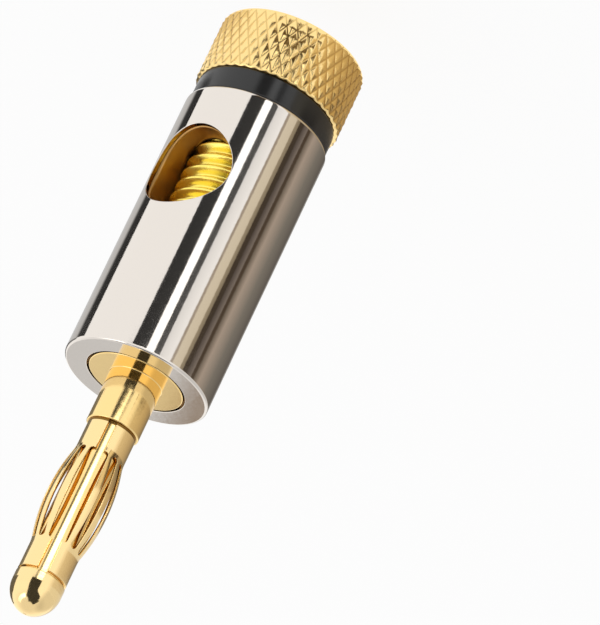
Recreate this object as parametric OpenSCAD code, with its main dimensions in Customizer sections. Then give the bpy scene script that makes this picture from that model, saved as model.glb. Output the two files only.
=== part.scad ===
// Screw-clamp banana plug standing on the end face of its clamp screw, pin pointing up.
// A gold core carries the pin, a lantern spring and a bright sleeve. A knurled hollow screw
// closes the rear over a colour ring and clamps the wire that enters at the side hole.

/* [Clamp screw] */
// Diameter over the knurl of the clamp screw head
head_d = 11.15; // [10.9:0.05:12]
// Height of the clamp screw head
head_h = 5.05; // [4:0.05:7]
// Radius of the rounded edge around the end face of the head
head_edge_r = 0.1; // [0.05:0.01:0.2]
// Number of knurl diamonds around the head
knurl_around = 42; // [30:1:54]
// Number of knurl diamonds along the head
knurl_along = 3; // [2:1:5]
// Depth of the knurl grooves
knurl_depth = 0.15; // [0.1:0.05:0.35]
// Height over which the knurl runs out at each end
knurl_fade = 0.08; // [0.05:0.01:0.3]
// Plain neck between the knurl and the colour ring
head_neck = 0.05; // [0.03:0.01:0.3]
// Outside diameter of the threaded stud
stud_d = 7; // [6.4:0.1:7.2]
// Length of the stud past the head
stud_len = 11.45; // [10:0.05:12]
// Chamfer at the free end of the stud
stud_chamfer = 0.4; // [0.1:0.05:0.6]
// Diameter of the cable bore through the clamp screw
cable_bore_d = 4.1; // [2.5:0.1:4.6]
// Diameter of the countersunk mouth of the cable bore
cable_mouth_d = 5.2; // [4.8:0.1:6.4]
// Included angle of the countersunk mouth
cable_mouth_angle = 60; // [50:5:90]

/* [Colour ring] */
// Outside diameter of the colour ring
ring_d = 10.6; // [9:0.1:10.9]
// Height of the colour ring
ring_h = 1.85; // [1:0.05:3]
// Rounded outer edges of the colour ring
ring_edge_r = 0.1; // [0.05:0.01:0.3]

/* [Outer sleeve] */
// Outside diameter of the sleeve
sleeve_d = 11; // [10.8:0.1:12]
// Length of the sleeve
sleeve_len = 22.1; // [21:0.1:26]
// Wall thickness of the sleeve
sleeve_wall = 0.35; // [0.25:0.05:0.5]
// Thickness of the wall that closes the sleeve at the front
front_wall = 1.2; // [0.8:0.1:2]
// Diameter of the opening in the front wall
front_open_d = 7.56; // [6:0.02:8.4]
// Rounded edge of the sleeve at the front
front_edge_r = 0.2; // [0.1:0.05:0.4]
// Rounded edge of the sleeve at the rear
rear_edge_r = 0.3; // [0.1:0.05:0.45]
// Diameter of the side hole for the wire
side_hole_d = 6.9; // [5:0.1:7.2]
// Distance from the front face back to the middle of the side hole
side_hole_back = 15.25; // [14:0.05:16]

/* [Plug core] */
// Depth of the tapped bore in the core
bore_depth = 11.5; // [11:0.1:14]
// Diameter of the shank in front of the sleeve
shank_d = 3.98; // [3.8:0.02:4.6]
// Length of the shank in front of the sleeve
shank_len = 4.2; // [2:0.1:8]
// Diameter of the pin inside the contact spring
pin_d = 3.2; // [2.7:0.05:3.3]
// Diameter of the rounded tip
tip_d = 3.7; // [3.5:0.02:3.8]
// Length of the rounded tip
tip_len = 2.75; // [2.3:0.05:3]
// Straight rim of the tip above its shoulder
tip_rim = 0.7; // [0.1:0.05:0.9]
// Radius of the nose at the end of the tip
nose_r = 1.4; // [1.2:0.05:1.6]
// Point angle of the drill that made the tapped bore
drill_angle = 118; // [90:2:140]

/* [Contact spring] */
// Length of the contact spring
spring_len = 12.35; // [11:0.05:16]
// Sheet thickness of the contact spring
spring_sheet = 0.2; // [0.15:0.05:0.3]
// Largest diameter of the bulged leaves
bulge_d = 4.65; // [4.3:0.05:5]
// Number of slots, the leaf at the seam is left out
slot_count = 13; // [8:1:14]
// Width of the slots between the leaves
slot_w = 0.55; // [0.2:0.05:0.6]
// Length of the slots
slot_len = 7.6; // [6:0.1:8]
// Length of the rise from the slot ends down to each collar
bulge_lead = 0.4; // [0.2:0.05:0.6]
// Radius of the hollow curve between each collar and the bulge
hollow_r = 3; // [1:0.5:4]
// Width of the open seam at the shank end of the spring
seam_rear_w = 0.6; // [0.3:0.05:0.8]
// Width of the open seam at the tip end of the spring
seam_tip_w = 0.85; // [0.3:0.05:0.9]
// Turn of the seam from the side hole
seam_turn = -36.5; // [-180:0.5:180]

/* [Fits] */
// Radial clearance of the stud in the tapped bore
thread_clear = 0.03; // [0.02:0.01:0.08]
// Radial clearance of the colour ring on the stud
ring_clear = 0.05; // [0.02:0.01:0.1]
// Radial clearance of the core in the sleeve
sleeve_clear = 0.02; // [0.01:0.01:0.05]
// Gap around the core hub in the front wall of the sleeve
hub_gap = 0.16; // [0.08:0.02:0.3]
// Radial clearance of the spring collars on the pin
spring_clear = 0.02; // [0.01:0.01:0.05]
// End play of the contact spring below the tip
spring_play = 0.2; // [0.05:0.05:0.4]

/* [Hidden] */
$fn = 96;

// Small overlap that lets the shapes of one solid merge
hair = 0.004;
// How far a cut runs past the face it opens
past = 1;
// Sides of the circles behind the long arcs of the spring
arc_fn = 240;
// Flat left on the thin rear edge of the sleeve
edge_land = 0.03;

// Heights along the plug, the end face of the head lies at zero
z_rear = head_h + ring_h;
z_front = z_rear + sleeve_len;
z_hole = z_front - side_hole_back;
z_step = z_front + shank_len;
z_spring_top = z_step + spring_len;
z_shoulder = z_spring_top + spring_play;
z_tip = z_shoulder + tip_len;
z_mid = z_step + spring_len / 2;

// Shared radii
stud_r = stud_d / 2;
bore_r = stud_r + thread_clear;
sleeve_r = sleeve_d / 2;
sleeve_in_r = sleeve_r - sleeve_wall;
core_r = sleeve_in_r - sleeve_clear;
hub_r = front_open_d / 2 - hub_gap;
pin_r = pin_d / 2;
rear_r = min(rear_edge_r, sleeve_wall - edge_land);

// Knurl lattice, grooves cross at the root radius and diamonds rise to the crest radius
knurl_n = 2 * knurl_around;
knurl_m = 2 * knurl_along;
crest_r = head_d / 2;
root_r = crest_r - knurl_depth;
land_r = (root_r + crest_r) / 2;
knurl_lap = 0.15;
neck_r = root_r - knurl_lap;
knurl_in_r = neck_r - knurl_lap;
face_r = land_r * cos(180 / knurl_n) - hair;
knurl_z0 = head_edge_r;
knurl_z1 = head_h - head_neck;
knurl_step = (knurl_z1 - knurl_z0 - 2 * knurl_fade) / knurl_m;

// Bulge of the contact spring, one large arc with a hollow arc at each end
collar_r = pin_r + spring_clear + spring_sheet;
bulge_r = bulge_d / 2;
bulge_rise = bulge_r - collar_r;
bulge_half = slot_len / 2 + bulge_lead;
arc_sum = (bulge_rise * bulge_rise + bulge_half * bulge_half) / (2 * bulge_rise);
arc_r = arc_sum - hollow_r;
// Radius inside the sheet at which the cuts through the spring start
cut_from = pin_r - spring_sheet;

// Rounded tip, a side arc that runs into a nose arc
tip_r = tip_d / 2;
tip_rise = tip_len - tip_rim;
side_r = nose_r + (pow(tip_rise - nose_r, 2) + pow(tip_r - nose_r, 2)) / (2 * (tip_r - nose_r));
side_angle = acos((side_r - tip_r) / (side_r - nose_r));
z_join = z_shoulder + tip_rim + side_r * sin(side_angle);
join_r = nose_r * cos(side_angle);

// One point of the knurl surface
function knurl_pt(r, k, z) = [r * cos(k * 360 / knurl_n), r * sin(k * 360 / knurl_n), z];
function knurl_rad(j, k) = (j + k) % 2 == 0 ? root_r : crest_r;

// Material taken off a convex corner so that it ends in a round of radius r
module corner_cut(x, z, r, sx, sz) {
  difference() {
    translate([x - (sx > 0 ? r : hair), z - (sz > 0 ? r : hair)])
      square(r + hair);
    translate([x - sx * r, z - sz * r])
      circle(r = r);
  }
}

// Drill for the wire, one wall only, straight out of the front of the sleeve
module side_drill() {
  translate([0, 0, z_hole])
    rotate([90, 0, 0])
      cylinder(d = side_hole_d, h = sleeve_d);
}

module tip_section() {
  translate([0, z_shoulder])
    square([tip_r, tip_rim]);
  translate([0, z_shoulder])
    square([join_r / 2, z_join - z_shoulder + hair]);
  intersection() {
    translate([tip_r - side_r, z_shoulder + tip_rim])
      circle(r = side_r);
    translate([0, z_shoulder + tip_rim])
      square([tip_r, z_join - z_shoulder - tip_rim]);
  }
  intersection() {
    translate([0, z_tip - nose_r])
      circle(r = nose_r);
    translate([0, z_join])
      square([tip_r, z_tip - z_join + hair]);
  }
}

// Gold core: tapped barrel, hub, shank, pin and rounded tip in one turned piece
module plug_core() {
  color([0.86, 0.66, 0.25])
    difference() {
      rotate_extrude() {
        translate([0, z_rear])
          square([core_r, sleeve_len - front_wall]);
        translate([0, z_rear])
          square([hub_r, sleeve_len]);
        translate([0, z_rear])
          square([shank_d / 2, sleeve_len + shank_len]);
        translate([0, z_rear])
          square([pin_r, z_shoulder - z_rear]);
        tip_section();
      }
      translate([0, 0, z_rear - past])
        cylinder(r = bore_r, h = bore_depth + past);
      translate([0, 0, z_rear + bore_depth])
        cylinder(r1 = bore_r, r2 = 0, h = bore_r / tan(drill_angle / 2));
      side_drill();
    }
}

// Outline of the spring set in by a thickness, closed at the axis
module spring_outline(inset, over) {
  half = arc_r - inset;
  z_arc = bulge_half * half / arc_sum;
  x_arc = bulge_r - arc_r + (arc_sum - bulge_rise) * half / arc_sum;
  translate([0, z_step - over])
    square([collar_r - inset, spring_len + 2 * over]);
  intersection() {
    translate([bulge_r - arc_r, z_mid])
      circle(r = half, $fn = arc_fn);
    translate([0, z_mid - z_arc])
      square([bulge_r, 2 * z_arc]);
  }
  for (side = [-1, 1])
    difference() {
      translate([0, side > 0 ? z_mid + z_arc : z_mid - bulge_half])
        square([x_arc, bulge_half - z_arc]);
      translate([collar_r + hollow_r, z_mid + side * bulge_half])
        circle(r = hollow_r + inset, $fn = arc_fn);
    }
}

module slot_shape() {
  square([slot_len - slot_w, slot_w], center = true);
  for (side = [-1, 1])
    translate([side * (slot_len - slot_w) / 2, 0])
      circle(d = slot_w);
}

// Open seam of the rolled sheet, two straight cuts that lean apart towards the tip end
module seam_cut() {
  lean = atan((seam_tip_w - seam_rear_w) / (2 * spring_len));
  start_w = seam_rear_w - 2 * past * tan(lean);
  for (side = [-1, 1])
    translate([cut_from, 0, z_step - past])
      rotate([side * lean, 0, 0])
        translate([0, -start_w / 2, 0])
          cube([bulge_d, start_w, spring_len + 2 * past]);
}

// Lantern spring: rolled sheet with bulged leaves, two collars and an open seam
module contact_spring() {
  pitch = 360 / slot_count;
  gap = 2 * collar_r * sin(pitch / 2);
  gap_len = slot_len - slot_w / 4;
  color([0.9, 0.72, 0.32])
    difference() {
      rotate_extrude()
        difference() {
          spring_outline(0, 0);
          spring_outline(spring_sheet, past);
        }
      rotate([0, 0, seam_turn - 90]) {
        for (k = [0 : slot_count - 1])
          rotate([0, 0, (k + 0.5) * pitch])
            translate([cut_from, 0, z_mid])
              rotate([0, 90, 0])
                linear_extrude(bulge_d)
                  slot_shape();
        translate([cut_from, -gap / 2, z_mid - gap_len / 2])
          cube([bulge_d, gap, gap_len]);
        seam_cut();
      }
    }
}

// Bright sleeve: thin shell with a front wall around the hub and one side hole
module outer_sleeve() {
  color([0.8, 0.8, 0.82])
    difference() {
      rotate_extrude()
        difference() {
          translate([0, z_rear])
            square([sleeve_r, sleeve_len]);
          translate([0, z_rear - past])
            square([sleeve_in_r, sleeve_len - front_wall + past]);
          translate([0, z_rear])
            square([front_open_d / 2, sleeve_len + past]);
          corner_cut(sleeve_r, z_front, front_edge_r, 1, 1);
          corner_cut(sleeve_r, z_rear, rear_r, 1, -1);
        }
      side_drill();
    }
}

// Plastic ring between the head and the sleeve, free on the stud
module colour_ring() {
  color([0.08, 0.08, 0.09])
    rotate_extrude()
      difference() {
        translate([stud_r + ring_clear, head_h])
          square([ring_d / 2 - stud_r - ring_clear, ring_h]);
        corner_cut(ring_d / 2, head_h + ring_h, ring_edge_r, 1, 1);
        corner_cut(ring_d / 2, head_h, ring_edge_r, 1, -1);
      }
}

// Band of raised diamonds around the head
module knurl_band() {
  n = knurl_n;
  m = knurl_m;
  pts = concat(
    [for (k = [0 : n - 1]) knurl_pt(land_r, k, knurl_z0)],
    [for (j = [0 : m], k = [0 : n - 1])
      knurl_pt(knurl_rad(j, k), k, knurl_z0 + knurl_fade + j * knurl_step)],
    [for (k = [0 : n - 1]) knurl_pt(land_r, k, knurl_z1)],
    [for (k = [0 : n - 1]) knurl_pt(knurl_in_r, k, knurl_z0)],
    [for (k = [0 : n - 1]) knurl_pt(knurl_in_r, k, knurl_z1)]
  );
  bot = (m + 3) * n;
  top = (m + 4) * n;
  last = (m + 2) * n;
  outer = [for (j = [0 : m + 1], k = [0 : n - 1], h = [0, 1])
    let (q = (k + 1) % n, a = j * n + k, b = j * n + q, c = a + n, d = b + n)
    (j + k) % 2 == 1
      ? (h == 0 ? [a, c, d] : [a, d, b])
      : (h == 0 ? [a, c, b] : [c, d, b])];
  under = [for (k = [0 : n - 1]) let (q = (k + 1) % n) [k, q, bot + q, bot + k]];
  over = [for (k = [0 : n - 1]) let (q = (k + 1) % n) [top + k, top + q, last + q, last + k]];
  inner = [for (k = [0 : n - 1]) let (q = (k + 1) % n) [bot + k, bot + q, top + q, top + k]];
  polyhedron(points = pts, faces = concat(outer, under, over, inner), convexity = 4);
}

// Clamp screw: knurled head, hollow stud and countersunk cable bore
module clamp_screw() {
  mouth_tan = tan(cable_mouth_angle / 2);
  mouth_h = (cable_mouth_d - cable_bore_d) / 2 / mouth_tan;
  mouth_d = cable_mouth_d + 2 * hair * mouth_tan;
  color([0.88, 0.68, 0.24])
    difference() {
      union() {
        knurl_band();
        rotate_extrude()
          difference() {
            square([face_r, knurl_z0 + hair]);
            corner_cut(face_r, 0, head_edge_r, 1, -1);
          }
        translate([0, 0, head_edge_r / 2])
          cylinder(r = neck_r, h = head_h - head_edge_r / 2);
        translate([0, 0, head_h / 2])
          cylinder(r = stud_r, h = head_h / 2 + stud_len - stud_chamfer);
        translate([0, 0, head_h + stud_len - stud_chamfer])
          cylinder(r1 = stud_r, r2 = stud_r - stud_chamfer, h = stud_chamfer);
      }
      translate([0, 0, -past])
        cylinder(d = cable_bore_d, h = head_h + stud_len + 2 * past);
      translate([0, 0, -hair])
        cylinder(d1 = mouth_d, d2 = cable_bore_d, h = mouth_h + hair);
    }
}

plug_core();
contact_spring();
outer_sleeve();
colour_ring();
clamp_screw();
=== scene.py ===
"""Looks of a screw-clamp banana plug: bright sleeve, gold core and spring, black ring, knurled screw."""
import math

import bpy
import numpy as np
from mathutils import Matrix, Vector


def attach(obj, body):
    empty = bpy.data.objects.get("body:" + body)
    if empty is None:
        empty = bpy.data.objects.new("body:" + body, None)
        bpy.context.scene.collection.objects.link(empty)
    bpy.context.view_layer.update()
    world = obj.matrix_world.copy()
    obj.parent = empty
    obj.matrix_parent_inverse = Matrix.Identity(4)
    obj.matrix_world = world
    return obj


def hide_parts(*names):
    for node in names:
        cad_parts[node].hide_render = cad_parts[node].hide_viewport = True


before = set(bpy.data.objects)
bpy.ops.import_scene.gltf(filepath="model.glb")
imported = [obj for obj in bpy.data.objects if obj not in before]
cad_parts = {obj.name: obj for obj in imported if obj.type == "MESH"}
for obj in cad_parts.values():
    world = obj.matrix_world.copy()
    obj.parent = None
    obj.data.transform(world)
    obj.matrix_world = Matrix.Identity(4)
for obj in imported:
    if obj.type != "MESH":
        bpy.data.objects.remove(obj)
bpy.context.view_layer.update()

MM = 0.001

# Photograph's camera: its place, the point it aims at and its roll, in the part's frame
IMAGE_LONG_SIDE = 625
FOCAL_PIXELS = 6256.3
SENSOR_MM = 36.0
CAMERA_POINT = Vector((-274.84, -294.73, 210.54)) * MM
CAMERA_AIM = Vector((-6.175, 5.758, 18.531)) * MM
CAMERA_ROLL = math.radians(154.916)
CAMERA_AZIMUTH = math.radians(-133.0)
CAMERA_CLIP = (0.01, 20.0)

# Heights along the plug in millimetres
HEAD_TOP = 5.05
REAR = 6.9
HOLE_MID = 13.75
STUD_END = 16.5
BORE_END = 18.4
FRONT = 29.0
STEP = 33.2
SHOULDER = 45.75
TIP = 48.5

# Sleeve: a tube with a front wall around the hub and a round wire hole
SLEEVE_R = 5.5
SLEEVE_IN_R = 5.15
FRONT_OPEN_R = 3.78
FRONT_WALL = 1.2
SEAT = FRONT - FRONT_WALL
HOLE_R = 3.45

# Core: barrel with a drilled bore, hub, shank, pin and rounded tip
CORE_R = 5.13
BORE_R = 3.53
DRILL_HALF = math.radians(59)
HUB_R = 3.62
SHANK_R = 1.99
PIN_R = 1.6
TIP_R = 1.85
TIP_RIM = 0.7
NOSE_R = 1.4

# Ring, and the height at which its closed profile starts and ends
RING_R = 5.3
RING_IN_R = 3.55
RING_SPLIT = 6.0

# Screw: neck above the knurl, ring of the head around the stud's foot, cable bore and its countersink
NECK_R = 5.125
FOOT_R = 4.0
CABLE_R = 2.05
CABLE_SPLIT = 3.0
SINK_R = 2.6
SINK_DEPTH = 0.953

# Thread of the stud: level between root and crest at each share of a pitch
PITCH = 1.0
THREAD_ROOT_R = 2.93
THREAD_CREST_R = 3.48
THREAD_SHARE = np.array([0.0, 0.06, 0.12, 0.3, 0.42, 0.5, 0.58, 0.7, 0.88, 0.94])
THREAD_LEVEL = np.array([1.0, 0.985, 0.9, 0.36, 0.06, 0.0, 0.06, 0.36, 0.9, 0.985])
STUD_CHAMFER = 0.4

# Diamond knurl of the screw head: level between groove and crest at each share of the way to the crest
KNURL_AROUND = 42
KNURL_ALONG = 3
KNURL_CELLS = 10
KNURL_CREST_R = 5.575
KNURL_DEPTH = 0.15
KNURL_LAND_R = 5.5
KNURL_FROM = 0.1
KNURL_TO = 5.0
KNURL_FADE = 0.08
KNURL_SHARE = (0.0, 0.1, 0.2, 0.8, 0.9, 1.0)
KNURL_LEVEL = (0.0, 0.2, 0.37, 0.86, 0.95, 1.0)

# Contact spring: rolled sheet with bulged leaves between slots, and a seam in place of one leaf
SPRING_END = 45.55
SPRING_MID = 39.375
SHEET = 0.2
COLLAR_R = 1.82
BULGE_R = 2.325
BULGE_HALF = 4.2
HOLLOW_R = 3.0
SLOT_COUNT = 13
SLOT_W = 0.55
SLOT_LEN = 7.6
SEAM_REAR_W = 0.6
SEAM_TIP_W = 0.85
SEAM_TURN = math.radians(-36.5)
LEAF_EDGE_R = 0.05
LEAF_EDGE_SHARE = 0.4
SHUT = 0.002

# Edge radii in millimetres
CRISP_EDGE = 0.02
FINE_EDGE = 0.05
SMALL_EDGE = 0.06
SOFT_EDGE = 0.08
FULL_EDGE = 0.1
RING_EDGE = 0.12
SLEEVE_FRONT_EDGE = 0.2
SLEEVE_REAR_EDGE = 0.32

# Meshes: columns round a wall and the ring, rows of the wire hole's edge, and welding steps in a millimetre
WALL_COLUMNS = 96
RING_COLUMNS = 144
HOLE_EDGE_ROWS = 4
WELDS_PER_MM = 2e4

# Guide corners give a profile its direction at an end, and these slices leave them out
GUIDE = 0.1
BETWEEN = slice(1, -1)
BUT_LAST = slice(None, -1)

# Studio cards: rows and columns of a card, its level over the part's end face, and the count of mirrorings
# above which light has met two pieces
CARD_ROWS = 12
CARD_COLUMNS = 24
CARD_LEVEL = 0.2
ONE_MIRROR = 1.5


def turned(corners, steps=6, keep=slice(None)):
    """Turned profile with rounded corners.

    Each corner is (radius, height, edge radius). A corner with an edge radius is replaced by an arc that
    is tangent to both of its sides. Gives the points and the normals, which lie to the right of the way,
    within the slice to keep.
    """
    given = np.array([c[:2] for c in corners], float)
    points, normals = [], []
    for k, (corner, edge) in enumerate(zip(given, [c[2] for c in corners])):
        if k in (0, len(given) - 1) or edge == 0:
            near = given[k] - given[k - 1] if k else given[1] - given[0]
            near = near / np.linalg.norm(near)
            points.append(corner[None])
            normals.append(np.array([[near[1], -near[0]]]))
            continue
        come = (corner - given[k - 1]) / np.linalg.norm(corner - given[k - 1])
        leave = (given[k + 1] - corner) / np.linalg.norm(given[k + 1] - corner)
        turn = math.atan2(come[0] * leave[1] - come[1] * leave[0], come @ leave)
        run = edge * math.tan(abs(turn) / 2)
        side = math.copysign(1.0, turn)
        start = math.atan2(-come[0], come[1])
        angle = start + turn * np.linspace(0, 1, steps + 1)
        spoke = np.stack([np.cos(angle), np.sin(angle)], axis=1)
        centre = corner - come * run - side * edge * spoke[0]
        points.append(centre + side * edge * spoke)
        normals.append(spoke)
    return np.concatenate(points)[keep], np.concatenate(normals)[keep]


def revolve(profile, theta):
    """Profile carried round the axis: x is r sin t, y is -r cos t, so angle zero faces the wire hole."""
    wave = np.stack([np.sin(theta), -np.cos(theta)], axis=-1)

    def carry(pairs):
        sideways = pairs[:, :1, None] * wave
        upward = np.broadcast_to(pairs[:, 1:, None], (len(pairs), len(theta), 1))
        return np.concatenate([sideways, upward], axis=-1)

    points, normals = profile
    return carry(points), carry(normals)


def cylinder_point(radius, theta, height):
    """Point on a cylinder around the axis: x is r sin t, y is -r cos t, z is the height."""
    return np.stack([radius * np.sin(theta), -radius * np.cos(theta), height + 0 * theta], axis=-1)


def around(count):
    """Whole turn of angles, first and last alike."""
    return np.linspace(-math.pi, math.pi, count + 1)


def grid_faces(place, facing, first, other):
    """Quads over a grid whose points count from first, turned to agree with the grid's normals.

    With a mask, each cell is two triangles instead, split along the other diagonal where the mask is true.
    A triangle names its last corner twice.
    """
    rows, columns = place.shape[:2]
    index = first + np.arange(rows * columns).reshape(rows, columns)
    a, b, c, d = index[:-1, :-1], index[:-1, 1:], index[1:, 1:], index[1:, :-1]
    cross = np.cross(place[1:, 1:] - place[:-1, :-1], place[1:, :-1] - place[:-1, 1:])
    if (cross * (facing[1:, 1:] + facing[:-1, :-1])).sum() < 0:
        b, d = d, b
    if other is None:
        return np.stack([a, b, c, d], -1).reshape(-1, 4)
    one = np.where(other[..., None], np.stack([a, b, d, d], -1), np.stack([a, b, c, c], -1))
    two = np.where(other[..., None], np.stack([b, c, d, d], -1), np.stack([a, c, d, d], -1))
    return np.concatenate([one.reshape(-1, 4), two.reshape(-1, 4)])


def weld(points, normals, depths, faces):
    """Points that fall together made one, with the mean of their normals and the greatest depth.

    A face that loses one corner by this becomes a triangle, and one that loses more is dropped.
    """
    cells = np.round(points * WELDS_PER_MM).astype(np.int64)
    _, keep, place_of = np.unique(cells, axis=0, return_index=True, return_inverse=True)
    place_of = place_of.reshape(-1)
    facing = np.zeros((len(keep), 3))
    np.add.at(facing, place_of, normals)
    facing /= np.linalg.norm(facing, axis=1, keepdims=True) + 1e-12
    depth = np.zeros(len(keep))
    np.maximum.at(depth, place_of, depths)
    faces = place_of[faces]
    differs = np.stack([faces[:, k] != faces[:, k - 1] for k in range(4)], axis=1)
    corners = differs.sum(axis=1)
    spare = np.argmin(differs[corners == 3], axis=1)
    triangles = np.take_along_axis(faces[corners == 3], (spare[:, None] + np.arange(3)) % 4, axis=1)
    return points[keep], facing, depth, faces[corners == 4].tolist() + triangles.tolist()


def skin(name, patches, body, node, finish):
    """One closed mesh from grids of points and normals in millimetres, welded where they meet.

    Each patch is (points, normals) on a grid, with an optional mask of the cells that split along the
    other diagonal and an optional depth in a groove from 0 to 1.
    """
    points, normals, depths, faces = [], [], [], []
    first = 0
    for patch in patches:
        place, facing, other, depth = (*patch, None, None)[:4]
        faces.append(grid_faces(place, facing, first, other))
        points.append(place.reshape(-1, 3))
        normals.append(facing.reshape(-1, 3))
        depths.append(np.zeros(place.size // 3) if depth is None else depth.reshape(-1))
        first += place.size // 3
    points, facing, depth, faces = weld(*[np.concatenate(v) for v in (points, normals, depths, faces)])
    mesh = bpy.data.meshes.new(name)
    mesh.from_pydata((points * MM).tolist(), [], faces)
    mesh.update()
    mesh.shade_smooth()
    mesh.normals_split_custom_set_from_vertices(facing)
    mesh.attributes.new("groove", "FLOAT", "POINT").data.foreach_set("value", depth)
    piece = bpy.data.objects.new(name, mesh)
    bpy.context.scene.collection.objects.link(piece)
    mesh.materials.append(finish)
    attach(piece, body)
    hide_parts(node)
    return piece


def hole_frame(low, high, along=WALL_COLUMNS, up=14):
    """Walk round the edge of an unrolled wall: angle and height of each edge point, closed.

    The walk goes along the top, down the seam, back along the bottom and up the seam again.
    """
    top = np.linspace(-math.pi, math.pi, along + 1)
    side = np.linspace(high, low, up + 1)
    theta = np.concatenate([top[:-1], np.full(up, math.pi), top[::-1][:-1], np.full(up, -math.pi),
                            [-math.pi]])
    height = np.concatenate([np.full(along, high), side[:-1], np.full(along, low), side[::-1][:-1],
                             [high]])
    return theta, height


def drilled_wall(radius, low, high, hole_r, edge_low, edge_high, rows=26, crowding=1.6, inward=False):
    """Cylinder wall around the round wire hole.

    Straight lines in the unrolled wall run from the hole's edge to the wall's own edge, at the angle
    at which that edge is seen from the middle of the hole. Rows crowd towards the hole by a power. The
    angles are laid out between edge_low and edge_high, so walls of different lengths can share them.
    """
    theta_edge, height_edge = hole_frame(edge_low, edge_high)
    turn = np.arctan2(theta_edge * SLEEVE_R, height_edge - HOLE_MID)
    height_edge = low + (height_edge - edge_low) * (high - low) / (edge_high - edge_low)
    across = hole_r * np.sin(turn)
    theta_rim = np.arcsin(across / radius)
    height_rim = HOLE_MID + hole_r * np.cos(turn)
    share = (np.linspace(0, 1, rows) ** crowding)[:, None]
    theta = theta_rim + (theta_edge - theta_rim) * share
    height = height_rim + (height_edge - height_rim) * share
    place = cylinder_point(radius, theta, height)
    facing = cylinder_point(-1.0 if inward else 1.0, theta, 0.0)
    return place, facing, turn


def hole_wall(turn, outer_r, inner_r, hole_r, edge, rows=8, edge_rows=HOLE_EDGE_ROWS):
    """Wall of the wire hole from the outside in, with a rounded outer edge.

    Going in, the rounded edge moves from the outer wall to the hole by a quarter circle; after it the
    wall runs straight along the hole to the inner cylinder.
    """
    bend = np.linspace(0, math.pi / 2, edge_rows + 1)[:, None]
    hole = hole_r + edge * (1 - np.sin(bend))
    skin_r = outer_r - edge * (1 - np.cos(bend))
    across = hole * np.sin(turn)
    theta = np.arcsin(across / skin_r)
    place = cylinder_point(skin_r, theta, HOLE_MID + hole * np.cos(turn))
    out = cylinder_point(1.0, theta, 0.0)
    inward = np.stack([-np.sin(turn), 0 * turn, -np.cos(turn)], axis=-1)
    facing = np.cos(bend)[..., None] * out + np.sin(bend)[..., None] * inward
    share = np.linspace(0, 1, rows)[1:, None, None]
    last = place[-1]
    across = hole_r * np.sin(turn)
    end = cylinder_point(inner_r, np.arcsin(across / inner_r), HOLE_MID + hole_r * np.cos(turn))
    straight = last + (end - last) * share
    return (np.concatenate([place, straight]),
            np.concatenate([facing, np.broadcast_to(inward, straight.shape)]))


def sleeve_patches():
    """Outer and inner wall around the wire hole, the hole's wall, and the turned front and rear ends.

    Inside its rounded edge the hole's wall is bare, which is given as the full depth of a groove.
    """
    low, high = REAR + SLEEVE_REAR_EDGE, FRONT - SLEEVE_FRONT_EDGE
    outer, out_n, turn = drilled_wall(SLEEVE_R, low, high, HOLE_R + SMALL_EDGE, low, high)
    inner, in_n, _ = drilled_wall(SLEEVE_IN_R, REAR + FULL_EDGE, SEAT - FULL_EDGE, HOLE_R, low, high,
                                  rows=14, inward=True)
    wall, wall_n = hole_wall(turn, SLEEVE_R, SLEEVE_IN_R, HOLE_R, SMALL_EDGE)
    bare = np.ones(wall.shape[:2])
    bare[:HOLE_EDGE_ROWS] = 0.0
    front = turned([(SLEEVE_R, high - GUIDE, 0), (SLEEVE_R, FRONT, SLEEVE_FRONT_EDGE),
                    (FRONT_OPEN_R, FRONT, FINE_EDGE), (FRONT_OPEN_R, SEAT, FINE_EDGE),
                    (SLEEVE_IN_R, SEAT, FULL_EDGE), (SLEEVE_IN_R, SEAT - FULL_EDGE - GUIDE, 0)],
                   steps=8, keep=BETWEEN)
    rear = turned([(SLEEVE_IN_R, REAR + FULL_EDGE, 0), (SLEEVE_IN_R, REAR, CRISP_EDGE),
                   (SLEEVE_R, REAR, SLEEVE_REAR_EDGE), (SLEEVE_R, low + GUIDE, 0)],
                  steps=8, keep=BUT_LAST)
    ends = around(WALL_COLUMNS)
    return [(outer, out_n), (wall, wall_n, None, bare), (inner, in_n),
            revolve(front, ends), revolve(rear, ends)]


def tip_arc(steps=20):
    """Rounded tip: a side arc from the straight rim that runs into a nose arc on the axis.

    The side arc's centre is level with the rim, and its radius makes both arcs tangent where they join.
    """
    rise = TIP - SHOULDER - TIP_RIM
    side = NOSE_R + ((rise - NOSE_R) ** 2 + (TIP_R - NOSE_R) ** 2) / (2 * (TIP_R - NOSE_R))
    join = math.acos((side - TIP_R) / (side - NOSE_R))
    a = np.linspace(0, join, steps)
    b = np.linspace(join, math.pi / 2, steps)[1:]
    base = SHOULDER + TIP_RIM
    points = np.concatenate([
        np.stack([TIP_R - side + side * np.cos(a), base + side * np.sin(a)], axis=1),
        np.stack([NOSE_R * np.cos(b), TIP - NOSE_R + NOSE_R * np.sin(b)], axis=1)])
    normals = np.concatenate([np.stack([np.cos(t), np.sin(t)], axis=1) for t in (a, b)])
    points[-1, 0] = 0.0
    return points, normals


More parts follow.
